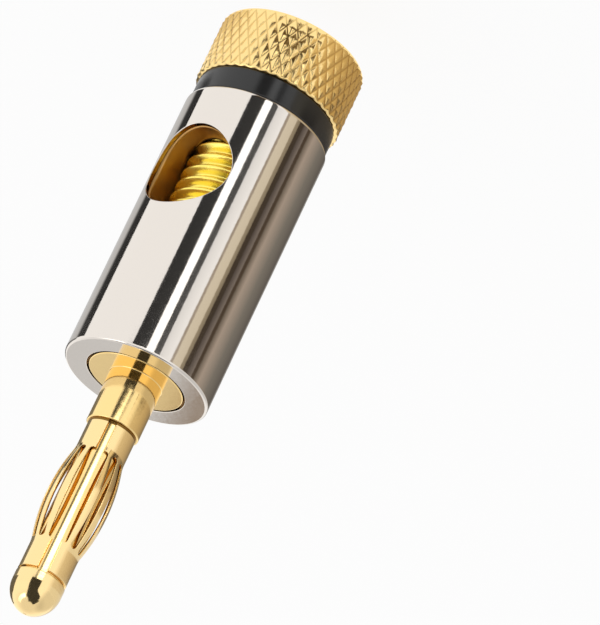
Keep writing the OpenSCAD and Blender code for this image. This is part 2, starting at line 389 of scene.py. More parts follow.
def core_patches():
    """Barrel around the wire hole and the stud's bore, then hub, shank, pin and rounded tip."""
    low, high = REAR + FULL_EDGE, SEAT - FULL_EDGE
    outer, out_n, turn = drilled_wall(CORE_R, low, high, HOLE_R, low, high)
    bore, bore_n, _ = drilled_wall(BORE_R, low, BORE_END, HOLE_R, low, high, rows=16, inward=True)
    front = turned([(CORE_R, high - GUIDE, 0), (CORE_R, SEAT, FULL_EDGE), (HUB_R, SEAT, FINE_EDGE),
                    (HUB_R, FRONT, SOFT_EDGE), (SHANK_R, FRONT, SMALL_EDGE), (SHANK_R, STEP, FULL_EDGE),
                    (PIN_R, STEP, FINE_EDGE), (PIN_R, SHOULDER, FINE_EDGE), (TIP_R, SHOULDER, SOFT_EDGE),
                    (TIP_R, SHOULDER + TIP_RIM, 0)], keep=BETWEEN)
    front = [np.concatenate(pair) for pair in zip(front, tip_arc())]
    rear = turned([(BORE_R, low + GUIDE, 0), (BORE_R, REAR, FULL_EDGE), (CORE_R, REAR, FULL_EDGE),
                   (CORE_R, low + GUIDE, 0)], keep=BETWEEN)
    depth = BORE_R / math.tan(DRILL_HALF)
    cone = (np.array([[BORE_R, BORE_END], [0.0, BORE_END + depth]]),
            np.array([[-math.cos(DRILL_HALF), -math.sin(DRILL_HALF)]] * 2))
    ends = around(WALL_COLUMNS)
    return [(outer, out_n), hole_wall(turn, CORE_R, BORE_R, HOLE_R, 0.0, edge_rows=1), (bore, bore_n),
            revolve(front, ends), revolve(rear, ends), revolve(cone, ends)]


def ring_patches():
    """Plain ring with rounded edges, a closed profile carried round the axis."""
    profile = turned([(RING_IN_R, RING_SPLIT, 0), (RING_IN_R, HEAD_TOP, FINE_EDGE),
                      (RING_R, HEAD_TOP, RING_EDGE), (RING_R, REAR, RING_EDGE),
                      (RING_IN_R, REAR, FINE_EDGE), (RING_IN_R, RING_SPLIT, 0)])
    return [revolve(profile, around(RING_COLUMNS))]


def knurl_patch(theta):
    """Band of raised diamonds.

    Grooves run where the turn count plus or minus the height count is whole. The height over the root
    follows the distance to the nearest groove, with a rounded groove and a blunt crest, and levels out
    at both ends.
    """
    tall = (KNURL_TO - KNURL_FROM - 2 * KNURL_FADE) / KNURL_ALONG
    rows = KNURL_ALONG * KNURL_CELLS
    inner = KNURL_FROM + KNURL_FADE + tall * np.arange(rows + 1) / KNURL_CELLS
    height = np.concatenate([[KNURL_FROM], inner, [KNURL_TO]])

    def crest(turns, rises):
        grooves = [2 * np.abs((turns + s * rises) - np.round(turns + s * rises)) for s in (1, -1)]
        near = np.minimum(*grooves)
        return np.interp(near, KNURL_SHARE, KNURL_LEVEL), grooves

    def radius(angle, z):
        rises = (z - KNURL_FROM - KNURL_FADE) / tall
        level, _ = crest(angle * KNURL_AROUND / (2 * math.pi), rises)
        fade = np.clip(np.minimum(z - KNURL_FROM, KNURL_TO - z) / KNURL_FADE, 0, 1)
        return KNURL_LAND_R + fade * (KNURL_CREST_R - KNURL_DEPTH * (1 - level) - KNURL_LAND_R)

    z, angle = np.meshgrid(height, theta, indexing="ij")
    r = radius(angle, z)
    # Depth into a groove: the head's finish tints the grooves darker by it, as painted shade
    depth = np.clip((KNURL_CREST_R - r) / KNURL_DEPTH, 0, 1)
    step = 0.02
    along_angle = (radius(angle + step / r, z) - radius(angle - step / r, z)) / (2 * step)
    up, down = np.minimum(z + step, KNURL_TO), np.maximum(z - step, KNURL_FROM)
    along_height = (radius(angle, up) - radius(angle, down)) / (up - down)
    out = cylinder_point(1.0, angle, 0.0)
    side = np.stack([np.cos(angle), np.sin(angle), 0 * angle], axis=-1)
    facing = out - along_angle[..., None] * side
    facing[..., 2] -= along_height
    facing /= np.linalg.norm(facing, axis=-1, keepdims=True)
    mid_angle = (angle[:-1, :-1] + angle[1:, 1:]) / 2
    mid_z = (z[:-1, :-1] + z[1:, 1:]) / 2
    _, grooves = crest(mid_angle * KNURL_AROUND / (2 * math.pi), (mid_z - KNURL_FROM - KNURL_FADE) / tall)
    return cylinder_point(r, angle, z), facing, grooves[0] < grooves[1], depth


def thread_patch(theta, low, high):
    """Right-hand thread on the stud.

    The profile of one turn is laid along the helix, so a row climbs one pitch in each turn. Rows are cut
    off level at both ends, and the free end is limited by its chamfer.
    """
    turns = np.arange(-1, math.ceil((high - low) / PITCH) + 1)
    rows = (turns[:, None] + THREAD_SHARE).reshape(-1)
    turn = (theta + math.pi) / (2 * math.pi)
    z = np.clip(low + PITCH * (rows[:, None] + turn[None]), low, high)

    def radius(height, share):
        count = (height - low) / PITCH - share
        part = count - np.floor(count)
        level = np.interp(part, np.append(THREAD_SHARE, 1.0), np.append(THREAD_LEVEL, 1.0))
        free = THREAD_CREST_R - np.clip(height - (high - STUD_CHAMFER), 0, None)
        return np.minimum(THREAD_ROOT_R + (THREAD_CREST_R - THREAD_ROOT_R) * level, free)

    share = np.broadcast_to(turn[None], z.shape)
    angle = np.broadcast_to(theta[None], z.shape)
    r = radius(z, share)
    step = 0.012
    slope = (radius(z + step, share) - radius(z - step, share)) / (2 * step)
    lead = (radius(z, share + step) - radius(z, share - step)) / (2 * step) / (2 * math.pi * r)
    side = np.stack([np.cos(angle), np.sin(angle), 0 * angle], axis=-1)
    facing = cylinder_point(1.0, angle, 0.0) - lead[..., None] * side
    facing[..., 2] -= slope
    facing /= np.linalg.norm(facing, axis=-1, keepdims=True)
    return (cylinder_point(r, angle, z), facing), r[0], r[-1]


def screw_patches():
    """Knurled head, threaded stud, end faces and the countersunk cable bore as one closed skin."""
    theta = around(KNURL_AROUND * KNURL_CELLS)
    thread, start_r, end_r = thread_patch(theta, HEAD_TOP, STUD_END)
    face = turned([(CABLE_R, CABLE_SPLIT, 0), (CABLE_R, SINK_DEPTH, FULL_EDGE), (SINK_R, 0.0, SMALL_EDGE),
                   (KNURL_LAND_R, 0.0, KNURL_FROM), (KNURL_LAND_R, KNURL_FROM + GUIDE, 0)],
                  steps=8, keep=BUT_LAST)
    neck = turned([(KNURL_LAND_R, KNURL_TO, 0), (NECK_R, KNURL_TO, CRISP_EDGE),
                   (NECK_R, HEAD_TOP, CRISP_EDGE), (FOOT_R, HEAD_TOP, 0)], steps=3)
    level = np.broadcast_to(np.array([0.0, 0.0, 1.0]), (2, len(theta), 3))
    foot = np.stack([cylinder_point(FOOT_R, theta, HEAD_TOP), cylinder_point(start_r, theta, HEAD_TOP)])
    end = np.stack([cylinder_point(end_r, theta, STUD_END), cylinder_point(CABLE_R, theta, STUD_END)])
    bore = (np.array([[CABLE_R, STUD_END], [CABLE_R, CABLE_SPLIT]]), np.array([[-1.0, 0.0]] * 2))
    return [revolve(face, theta), knurl_patch(theta), revolve(neck, theta), (foot, level), thread,
            (end, level), revolve(bore, theta)]


def spring_radius(z, inset):
    """Radius of the spring's sheet, set in by a depth.

    One large arc makes the bulge, and a hollow arc at each end runs it into the collar. The bulge's rise
    and half length give the sum of both radii.
    """
    rise = BULGE_R - COLLAR_R
    reach = (rise ** 2 + BULGE_HALF ** 2) / (2 * rise)
    large = reach - HOLLOW_R
    far = np.abs(z - SPRING_MID)
    bulge = BULGE_R - large + np.sqrt(np.maximum((large - inset) ** 2 - far ** 2, 0))
    rest = np.maximum(BULGE_HALF - far, 0)
    hollow = COLLAR_R + HOLLOW_R - np.sqrt(np.maximum((HOLLOW_R + inset) ** 2 - rest ** 2, 0))
    return np.where(far <= BULGE_HALF * (large - inset) / reach, bulge, hollow)


def slot_half(z):
    """Half the width of a slot with round ends, zero past its ends."""
    over = np.maximum(np.abs(z - SPRING_MID) - (SLOT_LEN - SLOT_W) / 2, 0)
    half = np.sqrt(np.maximum((SLOT_W / 2) ** 2 - over ** 2, 0))
    return np.where(half > SHUT, half, 0.0)


def seam_half(z):
    """Half the width of the open seam, which widens towards the tip."""
    return (SEAM_REAR_W + (SEAM_TIP_W - SEAM_REAR_W) * (z - STEP) / (SPRING_END - STEP)) / 2


def seam_edge(z):
    """Place of the seam's edge as a half width of the slot beside it, so below zero."""
    outer_r = spring_radius(z, 0.0)
    return outer_r * np.sin(np.arcsin(seam_half(z) / outer_r) - math.pi / SLOT_COUNT)


def strip_patches(z, left, left_half, right, right_half):
    """One strip of the rolled sheet, from edge to edge and from the outside in.

    An edge lies at its angle, drawn in by its half width. Where the half width isn't zero the edge is
    open: it gets a quarter round on the outside and a wall down to the inside. Both ends get a flat cap.
    """
    outer_r, inner_r = spring_radius(z, 0.0), spring_radius(z, SHEET)
    step = 0.01
    slope = (spring_radius(z + step, 0.0) - spring_radius(z - step, 0.0)) / (2 * step)
    bend = np.linspace(math.pi / 2, 0, 4)
    columns = np.linspace(0, 1, 7)[1:-1]
    theta, radius, tilt, inner_theta = [], [], [], []
    halves = {1: left_half, -1: right_half}
    edge = {side: np.minimum(LEAF_EDGE_R, LEAF_EDGE_SHARE * np.abs(half)) for side, half in halves.items()}
    at = {1: left + np.arcsin(left_half / outer_r), -1: right - np.arcsin(right_half / outer_r)}
    inner_at = {1: left + np.arcsin(left_half / inner_r), -1: right - np.arcsin(right_half / inner_r)}

    def round_edge(side, turns):
        for turn in turns:
            theta.append(at[side] + side * edge[side] * (1 - math.sin(turn)) / outer_r)
            radius.append(outer_r - edge[side] * (1 - math.cos(turn)))
            tilt.append(np.where(edge[side] > 0, -side * math.sin(turn), 0.0))
            inner_theta.append(inner_at[side])

    round_edge(1, bend)
    first, last = at[1] + edge[1] / outer_r, at[-1] - edge[-1] / outer_r
    for share in columns:
        theta.append(first + (last - first) * share)
        radius.append(outer_r)
        tilt.append(0 * z)
        inner_theta.append(inner_at[1] + (inner_at[-1] - inner_at[1]) * share)
    round_edge(-1, bend[::-1])
    theta, radius, tilt, inner_theta = [np.stack(v, axis=1) for v in (theta, radius, tilt, inner_theta)]
    outer = cylinder_point(radius, theta, z[:, None])
    inner = cylinder_point(inner_r[:, None], inner_theta, z[:, None])
    out = cylinder_point(1.0, theta, 0.0)
    side = np.stack([np.cos(theta), np.sin(theta), 0 * theta], axis=-1)
    facing = np.sqrt(1 - tilt ** 2)[..., None] * out + tilt[..., None] * side
    facing[..., 2] -= slope[:, None]
    facing /= np.linalg.norm(facing, axis=-1, keepdims=True)
    back = -cylinder_point(1.0, inner_theta, 0.0)
    back[..., 2] += slope[:, None]
    # The inside of the sheet is given the full depth of a groove, which the spring's finish tints darker as
    # painted shade inside the cage
    patches = [(outer, facing), (inner, back, None, np.ones(inner.shape[:2]))]
    for column, half, way in ((0, left_half, -1), (-1, right_half, 1)):
        open_rows = np.flatnonzero(half)
        if len(open_rows):
            rows = slice(max(open_rows[0] - 1, 0), open_rows[-1] + 2)
            wall = np.stack([outer[rows, column], inner[rows, column]], axis=1)
            patches.append((wall, np.broadcast_to(way * side[rows, column][:, None], wall.shape)))
    for row, way in ((0, -1.0), (-1, 1.0)):
        cap = np.stack([outer[row], inner[row]])
        patches.append((cap, np.broadcast_to(np.array([0, 0, way]), cap.shape)))
    return patches


def spring_patches():
    """Whole contact spring: leaves with their share of both collars, and the rear collar's ends.

    Rows crowd at the slots' round ends and where the hollow arcs run into the collars. Towards the tip the
    seam is about as wide as the missing leaf, so the leaves beside it end at the seam's edge there.
    """
    straight = (SLOT_LEN - SLOT_W) / 2
    collar = (SPRING_END - STEP) / 2
    round_end = straight + SLOT_W / 2 * np.sin(np.linspace(0.2, 1.4, 7))
    hollow = np.linspace(SLOT_LEN / 2, BULGE_HALF, 6)
    half = np.concatenate([np.linspace(0, straight, 22), round_end, hollow,
                           [BULGE_HALF + 0.5, collar - 0.04, collar]])
    half = np.unique(np.round(half, 6))
    far = np.concatenate([-half[:0:-1], half])
    z = SPRING_MID + far
    pitch = 2 * math.pi / SLOT_COUNT
    slot = slot_half(z)
    beside_seam = np.where(far > SLOT_LEN / 2 - SHUT, seam_edge(z), slot)
    patches = []
    for leaf in range(SLOT_COUNT - 1):
        left = SEAM_TURN + (leaf + 0.5) * pitch
        left_half = beside_seam if leaf == 0 else slot
        right_half = beside_seam if leaf == SLOT_COUNT - 2 else slot
        patches += strip_patches(z, left, left_half, left + pitch, right_half)
    rear = z[far < SHUT - SLOT_LEN / 2]
    patches += strip_patches(rear, SEAM_TURN, seam_half(rear), SEAM_TURN + pitch / 2, 0 * rear)
    patches += strip_patches(rear, SEAM_TURN - pitch / 2, 0 * rear, SEAM_TURN, seam_half(rear))
    return patches


def node_tree(name):
    """Empty material with its output."""
    material = bpy.data.materials.new(name)
    material.use_nodes = True
    tree = material.node_tree
    tree.nodes.clear()
    output = tree.nodes.new("ShaderNodeOutputMaterial")
    return material, tree, output


def add(tree, kind, **sockets):
    """New node of a kind with its input sockets set by name."""
    node = tree.nodes.new(kind)
    for key, value in sockets.items():
        node.inputs[key.replace("_", " ")].default_value = value
    return node


def reckon(tree, operation, *given):
    """New arithmetic node, with the values that are given for its inputs."""
    node = tree.nodes.new("ShaderNodeMath")
    node.operation = operation
    for socket, value in zip(node.inputs, given):
        socket.default_value = value
    return node


def wire(tree, *links):
    """Links of a node tree, each as (node, its output, next node, its input)."""
    for source, output, target, entry in links:
        tree.links.new(source.outputs[output], target.inputs[entry])


def metal(name, coats, grain, groove_shade_and_bare_colour, groove_shade_and_bare_share):
    """Metal whose colour and roughness change with the height along the plug.

    Each coat is (height it starts at in millimetres, colour, roughness). Fine noise varies the roughness,
    and grain is the size across, the size along and the depth of the faint marks of turning. Grooves and
    the spring's inside are tinted towards a colour by a share: painted shade in the knurl and inside the
    spring, bare brass on the sleeve's hole wall.
    """
    material, tree, output = node_tree(name)
    shader = add(tree, "ShaderNodeBsdfPrincipled", Metallic=1.0)
    place = add(tree, "ShaderNodeTexCoord")
    split = add(tree, "ShaderNodeSeparateXYZ")
    share = add(tree, "ShaderNodeMapRange", From_Max=COATS_TOP * MM)
    coat = add(tree, "ShaderNodeValToRGB")
    stops = coat.color_ramp.elements
    coat.color_ramp.interpolation = "CONSTANT"
    stops.remove(stops[-1])
    for k, (start, colour, roughness) in enumerate(coats):
        stop = stops.new(start / COATS_TOP) if k else stops[0]
        stop.color = (*colour, roughness)
    groove = add(tree, "ShaderNodeAttribute")
    groove.attribute_name = "groove"
    deep = add(tree, "ShaderNodeMapRange", From_Min=GROOVE_FROM, From_Max=1.0, To_Max=groove_shade_and_bare_share)
    tint = add(tree, "ShaderNodeMixRGB", Color2=(*groove_shade_and_bare_colour, 1))
    noise = add(tree, "ShaderNodeTexNoise", Scale=NOISE_SCALE, Detail=3.0)
    spread = add(tree, "ShaderNodeMapRange", From_Min=NOISE_BAND[0], From_Max=NOISE_BAND[1],
                 To_Min=NOISE_SPREAD[0], To_Max=NOISE_SPREAD[1])
    rough = reckon(tree, "MULTIPLY")
    stretch = add(tree, "ShaderNodeMapping", Scale=(1 / grain[0], 1 / grain[0], 1 / grain[1]))
    marks = add(tree, "ShaderNodeTexNoise", Scale=1 / MM, Detail=1.0)
    bump = add(tree, "ShaderNodeBump", Strength=1.0, Distance=grain[2] * MM)
    wire(tree,
         (place, "Object", split, "Vector"),
         (split, "Z", share, "Value"),
         (share, "Result", coat, "Fac"),
         (groove, "Fac", deep, "Value"),
         (deep, "Result", tint, "Fac"),
         (coat, "Color", tint, "Color1"),
         (tint, "Color", shader, "Base Color"),
         (place, "Object", noise, "Vector"),
         (noise, "Fac", spread, "Value"),
         (spread, "Result", rough, 0),
         (coat, "Alpha", rough, 1),
         (rough, 0, shader, "Roughness"),
         (place, "Object", stretch, "Vector"),
         (stretch, "Vector", marks, "Vector"),
         (marks, "Fac", bump, "Height"),
         (bump, "Normal", shader, "Normal"),
         (shader, "BSDF", output, "Surface"))
    return material


def plastic(name, colour, roughness):
    """Moulded glossy plastic with a fine orange-peel bump."""
    material, tree, output = node_tree(name)
    shader = add(tree, "ShaderNodeBsdfPrincipled", Base_Color=(*colour, 1), Roughness=roughness)
    place = add(tree, "ShaderNodeTexCoord")
    noise = add(tree, "ShaderNodeTexNoise", Scale=PEEL_SCALE, Detail=2.0)
    bump = add(tree, "ShaderNodeBump", Strength=PEEL_STRENGTH, Distance=PEEL_DEPTH * MM)
    wire(tree,
         (place, "Object", noise, "Vector"),
         (noise, "Fac", bump, "Height"),
         (bump, "Normal", shader, "Normal"),
         (shader, "BSDF", output, "Surface"))
    return material


def make_camera():
    """Camera at the photograph's place, rolled so that the pin points to the lower left."""
    data = bpy.data.cameras.new("camera")
    data.sensor_width = SENSOR_MM
    data.lens = SENSOR_MM * FOCAL_PIXELS / IMAGE_LONG_SIDE
    data.clip_start, data.clip_end = CAMERA_CLIP
    camera = bpy.data.objects.new("camera", data)
    bpy.context.scene.collection.objects.link(camera)
    look = (CAMERA_AIM - CAMERA_POINT).normalized()
    side = look.cross(Vector((0, 0, 1))).normalized()
    rise = side.cross(look)
    across = side * math.cos(CAMERA_ROLL) - rise * math.sin(CAMERA_ROLL)
    upward = across.cross(look)
    turn = Matrix((across, upward, -look)).transposed()
    camera.matrix_world = Matrix.Translation(CAMERA_POINT) @ turn.to_4x4()
    bpy.context.scene.camera = camera


def grid_object(name, points):
    """Quad mesh over an open grid of points, rows by columns by three."""
    rows, columns = points.shape[:2]
    index = np.arange(rows * columns).reshape(rows, columns)
    quads = np.stack([index[:-1, :-1], index[:-1, 1:], index[1:, 1:], index[1:, :-1]], axis=-1)
    mesh = bpy.data.meshes.new(name)
    mesh.from_pydata(points.reshape(-1, 3), [], quads.reshape(-1, 4))
    mesh.update()
    made = bpy.data.objects.new(name, mesh)
    bpy.context.scene.collection.objects.link(made)
    return made


def card_material(name, first, last, twice):
    """Plain studio card, its tone running from the first edge to the last.

    A card marked twice is clear to all but light that two pieces mirror in turn.
    """
    material, tree, output = node_tree(name)
    place = add(tree, "ShaderNodeAttribute")
    place.attribute_name = "across"
    tone = add(tree, "ShaderNodeValToRGB")
    tone.color_ramp.elements[0].color = (*first, 1)
    tone.color_ramp.elements[1].color = (*last, 1)
    glow = add(tree, "ShaderNodeEmission", Strength=1.0)
    wire(tree, (place, "Fac", tone, "Fac"), (tone, "Color", glow, "Color"))
    if not twice:
        wire(tree, (glow, "Emission", output, "Surface"))
        return material
    path = add(tree, "ShaderNodeLightPath")
    second = reckon(tree, "GREATER_THAN", 0.0, ONE_MIRROR)
    clear = add(tree, "ShaderNodeBsdfTransparent")
    mix = add(tree, "ShaderNodeMixShader")
    wire(tree,
         (path, "Glossy Depth", second, 0),
         (second, 0, mix, 0),
         (clear, 0, mix, 1),
         (glow, "Emission", mix, 2),
         (mix, 0, output, "Surface"))
    return material


def hang_card(name, points, first, last, twice=False):
    """Card over a grid of points in millimetres, seen in reflections only."""
    card = grid_object(name, points * MM)
    across = np.broadcast_to(np.linspace(0, 1, points.shape[1]), points.shape[:2])
    card.data.attributes.new("across", "FLOAT", "POINT").data.foreach_set("value", across.ravel())
    card.data.materials.append(card_material(name, first, last, twice))
    card.visible_camera = False
    card.visible_diffuse = False
    card.visible_shadow = False
    card.visible_transmission = False


def on_rays(a, distance):
    """Place at a distance along the ray at angle a.

    The ray starts on the sleeve at a from the camera and runs off at twice a, as the sleeve mirrors it.
    """
    x = SLEEVE_R * np.cos(CAMERA_AZIMUTH + a) + distance * np.cos(CAMERA_AZIMUTH + 2 * a)
    y = SLEEVE_R * np.sin(CAMERA_AZIMUTH + a) + distance * np.sin(CAMERA_AZIMUTH + 2 * a)
    return x, y


def floor_card(name, start, end, near, far, rise, first, last, level=CARD_LEVEL):
    """Level card between two rays, low down or higher up, that may bend up into a wall.

    Distances near and far are along the rays, and rise is the height of the wall at the far end. An edge
    given as a pair moves from its first angle at the near end to its second at the far end.
    """
    share = np.append(np.linspace(0, 1, CARD_ROWS), [1, 1])[:, None]
    one, two = [np.radians(np.broadcast_to(edge, 2)) for edge in (start, end)]
    one, two = [edge[0] + (edge[1] - edge[0]) * share for edge in (one, two)]
    a = one + (two - one) * np.linspace(0, 1, CARD_COLUMNS)
    x, y = on_rays(a, near + (far - near) * share)
    z = np.append(np.zeros(CARD_ROWS), [rise / 2, rise])[:, None] + level + 0 * a
    hang_card(name, np.stack([x, y, z], axis=-1), first, last)


def upright_grid(height, left, right):
    """Points of an upright card across the rays, its two edges given at each height in degrees."""
    left, right = np.radians(left)[:, None], np.radians(right)[:, None]
    a = left + (right - left) * np.linspace(0, 1, CARD_COLUMNS)
    x, y = on_rays(a, UPRIGHT_DISTANCE)
    return np.stack([x, y, np.array(height)[:, None] + 0 * a], axis=-1)


def tip_card(name, height, left, right, tone):
    """Upright card drawn in so close to the rounded tip that no other piece shows it.

    The tip is taken as a ball, and each point moves in towards the spot that mirrors it to the camera.
    """
    large = upright_grid(height, left, right)
    ball = np.array([0, 0, SHOULDER + TIP_RIM])
    to_camera = np.array(CAMERA_POINT) / MM - ball
    to_card = large - ball
    facing = to_camera / np.linalg.norm(to_camera)
    facing = facing + to_card / np.linalg.norm(to_card, axis=-1, keepdims=True)
    spot = ball + TIP_BALL_R * facing / np.linalg.norm(facing, axis=-1, keepdims=True)
    hang_card(name, spot + (large - spot) * TIP_CARD_SHARE, tone, tone)


def back_card(name, left, right, first, last):
    """Upright card behind the plug between two sideways places, facing the camera."""
    side, height = np.meshgrid(np.linspace(left, right, BACK_COLUMNS), np.array([BACK_FOOT, BACK_TOP]))
    x = -BACK_DISTANCE * math.cos(CAMERA_AZIMUTH) - side * math.sin(CAMERA_AZIMUTH)
    y = -BACK_DISTANCE * math.sin(CAMERA_AZIMUTH) + side * math.cos(CAMERA_AZIMUTH)
    hang_card(name, np.stack([x, y, height], axis=-1), first, last)


def make_floor():
    """White floor that keeps a soft shadow and shows a little brighter in the metal.

    It lies as far below the part as the screw backs out, and it is clear when seen from below.
    """
    material, tree, output = node_tree("floor_white")
    paint = add(tree, "ShaderNodeBsdfDiffuse", Color=(*FLOOR_PAINT, 1))
    glow = add(tree, "ShaderNodeEmission", Color=(1, 1, 1, 1))
    path = add(tree, "ShaderNodeLightPath")
    level = add(tree, "ShaderNodeMapRange", To_Min=1.0, To_Max=FLOOR_IN_METAL)
    seen = reckon(tree, "MAXIMUM")
    seen_too = reckon(tree, "MAXIMUM")
    share = reckon(tree, "MULTIPLY", 0.0, FLOOR_GLOW)
    mix = add(tree, "ShaderNodeMixShader")
    side = add(tree, "ShaderNodeNewGeometry")
    clear = add(tree, "ShaderNodeBsdfTransparent")
    one_way = add(tree, "ShaderNodeMixShader")
    wire(tree,
         (path, "Is Camera Ray", seen, 0),
         (path, "Is Glossy Ray", seen, 1),
         (seen, 0, seen_too, 0),
         (path, "Is Transmission Ray", seen_too, 1),
         (seen_too, 0, share, 0),
         (path, "Is Glossy Ray", level, "Value"),
         (level, "Result", glow, "Strength"),
         (share, 0, mix, 0),
         (paint, 0, mix, 1),
         (glow, 0, mix, 2),
         (side, "Backfacing", one_way, 0),
         (mix, 0, one_way, 1),
         (clear, 0, one_way, 2),
         (one_way, 0, output, "Surface"))
    span = np.linspace(-FLOOR_REACH, FLOOR_REACH, 5)
    x, y = np.meshgrid(span, span)
    floor = grid_object("floor", np.stack([x, y, np.full_like(x, FLOOR_LEVEL * MM)], axis=-1))
    floor.data.materials.append(material)


def make_sky():
    """Pale surroundings: they fall off a little towards the top and more on the camera's right.

    The fall on the right goes by how far a direction points to the left, less a share of its height.
    """
    world = bpy.data.worlds.new("studio")
    world.use_nodes = True
    tree = world.node_tree
    light = tree.nodes["Background"]
    light.inputs["Color"].default_value = (1, 1, 1, 1)
    place = add(tree, "ShaderNodeTexCoord")
    turn = add(tree, "ShaderNodeMapping", Rotation=(0, 0, -CAMERA_AZIMUTH))
    split = add(tree, "ShaderNodeSeparateXYZ")
    lean = reckon(tree, "MULTIPLY_ADD", 0.0, SKY_LEAN)
    side = add(tree, "ShaderNodeMapRange", From_Min=SKY_DIM, From_Max=SKY_CLEAR, To_Min=SKY_SHARE)
    side.interpolation_type = "SMOOTHSTEP"
    high = add(tree, "ShaderNodeMapRange", From_Min=SKY_LOW[0], From_Max=SKY_TOP[0], To_Min=SKY_LOW[1],
               To_Max=SKY_TOP[1])
    level = reckon(tree, "MULTIPLY")
    wire(tree,
         (place, "Generated", turn, "Vector"),
         (turn, "Vector", split, "Vector"),
         (split, "Z", lean, 0),
         (split, "Y", lean, 2),
         (lean, 0, side, "Value"),
         (split, "Z", high, "Value"),
         (side, "Result", level, 0),
         (high, "Result", level, 1),
         (level, 0, light, "Strength"))
    bpy.context.scene.world = world


def grey(level):
    """Neutral tone."""
    return (level, level, level)


# Cards seen in the sleeve and the knurl: edges in degrees from the camera, left is positive, and tones
NEAR_CARDS = [
    ("edge_left", 90, 70, grey(0.65), grey(0.6)),
    ("edge_left_fade", 70, 66, grey(0.6), grey(0.06)),
    ("dark_left", 66, 58, grey(0.05), grey(0.03)),
    ("black_broad", 14.5, 3.5, grey(0.04), grey(0.05)),
    ("lamp", 3.5, -2.6, grey(1.7), grey(1.7)),
    ("black_line", -2.6, -7.3, grey(0.1), grey(0.1)),
    ("white_right", -7.3, -16.6, grey(0.95), grey(1.15)),
    ("thin_line", -16.6, -18.6, (0.45, 0.38, 0.3), (0.45, 0.38, 0.3)),
    ("beige", -18.6, -25.5, (0.83, 0.74, 0.58), (0.8, 0.71, 0.55)),
    ("brown", -25.5, -28.5, (0.4, 0.33, 0.23), (0.3, 0.25, 0.17)),
    ("dark_brown", -28.5, -32.5, (0.07, 0.05, 0.035), (0.07, 0.055, 0.04)),
    ("brown_strip", -32.5, -37.5, (0.1, 0.08, 0.07), (0.25, 0.21, 0.18)),
    ("dark_strip", -37.5, -40.5, (0.09, 0.065, 0.045), (0.09, 0.065, 0.045)),
    ("warm_rise", -40.5, -46.5, (0.16, 0.13, 0.1), (0.48, 0.4, 0.33)),
    ("warm_fall", -46.5, -60, (0.48, 0.4, 0.33), (0.24, 0.22, 0.19)),
    ("edge_right", -60, -78, (0.24, 0.22, 0.19), (0.13, 0.115, 0.1)),
    ("edge_right_back", -78, -90, (0.13, 0.115, 0.1), (0.6, 0.58, 0.55)),
]
NEAR_FROM = 11.0
NEAR_REACH = 65.5

# Cards close to the head, seen in the knurl only: edges, distances and tones
HEAD_CARDS = [
    # The first two cards stand in for shade on the floor next to the head, a painted shade that the knurl
    # mirrors
    ("head_left", 90, 45, 0, 6, (0.62, 0.5, 0.33), (0.95, 0.9, 0.8)),
    ("head_black", 17, -11, 1, 3, (0.12, 0.08, 0.035), (0.12, 0.08, 0.035)),
    ("head_broad", 14.5, 3.5, 3, NEAR_FROM, (0.06, 0.045, 0.03), (0.06, 0.045, 0.03)),
    ("head_lamp", 3.5, -2.6, 3, NEAR_FROM, grey(1.7), grey(1.7)),
    ("head_line", -2.6, -7.3, 3, NEAR_FROM, grey(0.1), grey(0.1)),
    ("head_right", -16, -45, 0, NEAR_FROM, (0.8, 0.68, 0.48), (0.5, 0.4, 0.26)),
    ("head_edge_right", -45, -90, 0, NEAR_FROM, (0.5, 0.4, 0.26), (0.42, 0.32, 0.2)),
]

# Cards seen in the shank, the spring and the pin: edges, distances, the height of the wall behind, tones
FAR_REACH = 110.0
OUT_REACH = 2500.0
FAR_CARDS = [
    ("far_dark_left", 84, 63, NEAR_REACH, FAR_REACH, 45, grey(0.15), grey(0.25)),
    ("far_line", 15, 10, 70, FAR_REACH, 0, grey(0.2), grey(0.2)),
    ("far_lamp", 7, -1, 70, 82, 0, grey(2.8), grey(2.8)),
    ("far_lamp_wide", (7, 9.5), (-1, -4), 82, 107, 0, grey(4.5), grey(4.5)),
    ("far_line_right", -3, -5, 70, 76, 0, grey(0.5), grey(0.5)),
    ("far_right_fall", -20, -30, NEAR_REACH, FAR_REACH, 0, grey(1.12), (0.8, 0.74, 0.66)),
    ("far_right", -30, -60, NEAR_REACH, FAR_REACH, 0, (0.75, 0.68, 0.58), (0.475, 0.405, 0.32)),
    ("far_right_edge", -60, -78, NEAR_REACH, FAR_REACH, 0, (0.475, 0.405, 0.32), (0.22, 0.19, 0.15)),
    ("far_right_back", -78, -90, NEAR_REACH, FAR_REACH, 0, (0.22, 0.19, 0.15), (0.6, 0.58, 0.55)),
    ("out_right_fall", -20, -31, FAR_REACH, OUT_REACH, 0, grey(1.1), grey(0.82)),
    ("out_right", -31, -89, FAR_REACH, OUT_REACH, 0, grey(0.82), grey(0.76)),
]

# Lamp high on the left that the rounded tip shows: edges, distances, wall, tones and level
TIP_LAMP = ("tip_lamp", 26, 62, 100, 165, 0, grey(3.2), grey(1.2), 200)

# Dark cards that the shank's foot and the rounded tip show: edges, distances, wall and level
DARK_CARDS = [
    ("foot_dark", (19, 15), (-9, 8), 64, 70, 0, 0.4),
    ("overhead_dark", (13, 24), (-31, -27), 40, 140, 0, 200),
]
DARK_TONE = grey(0.045)

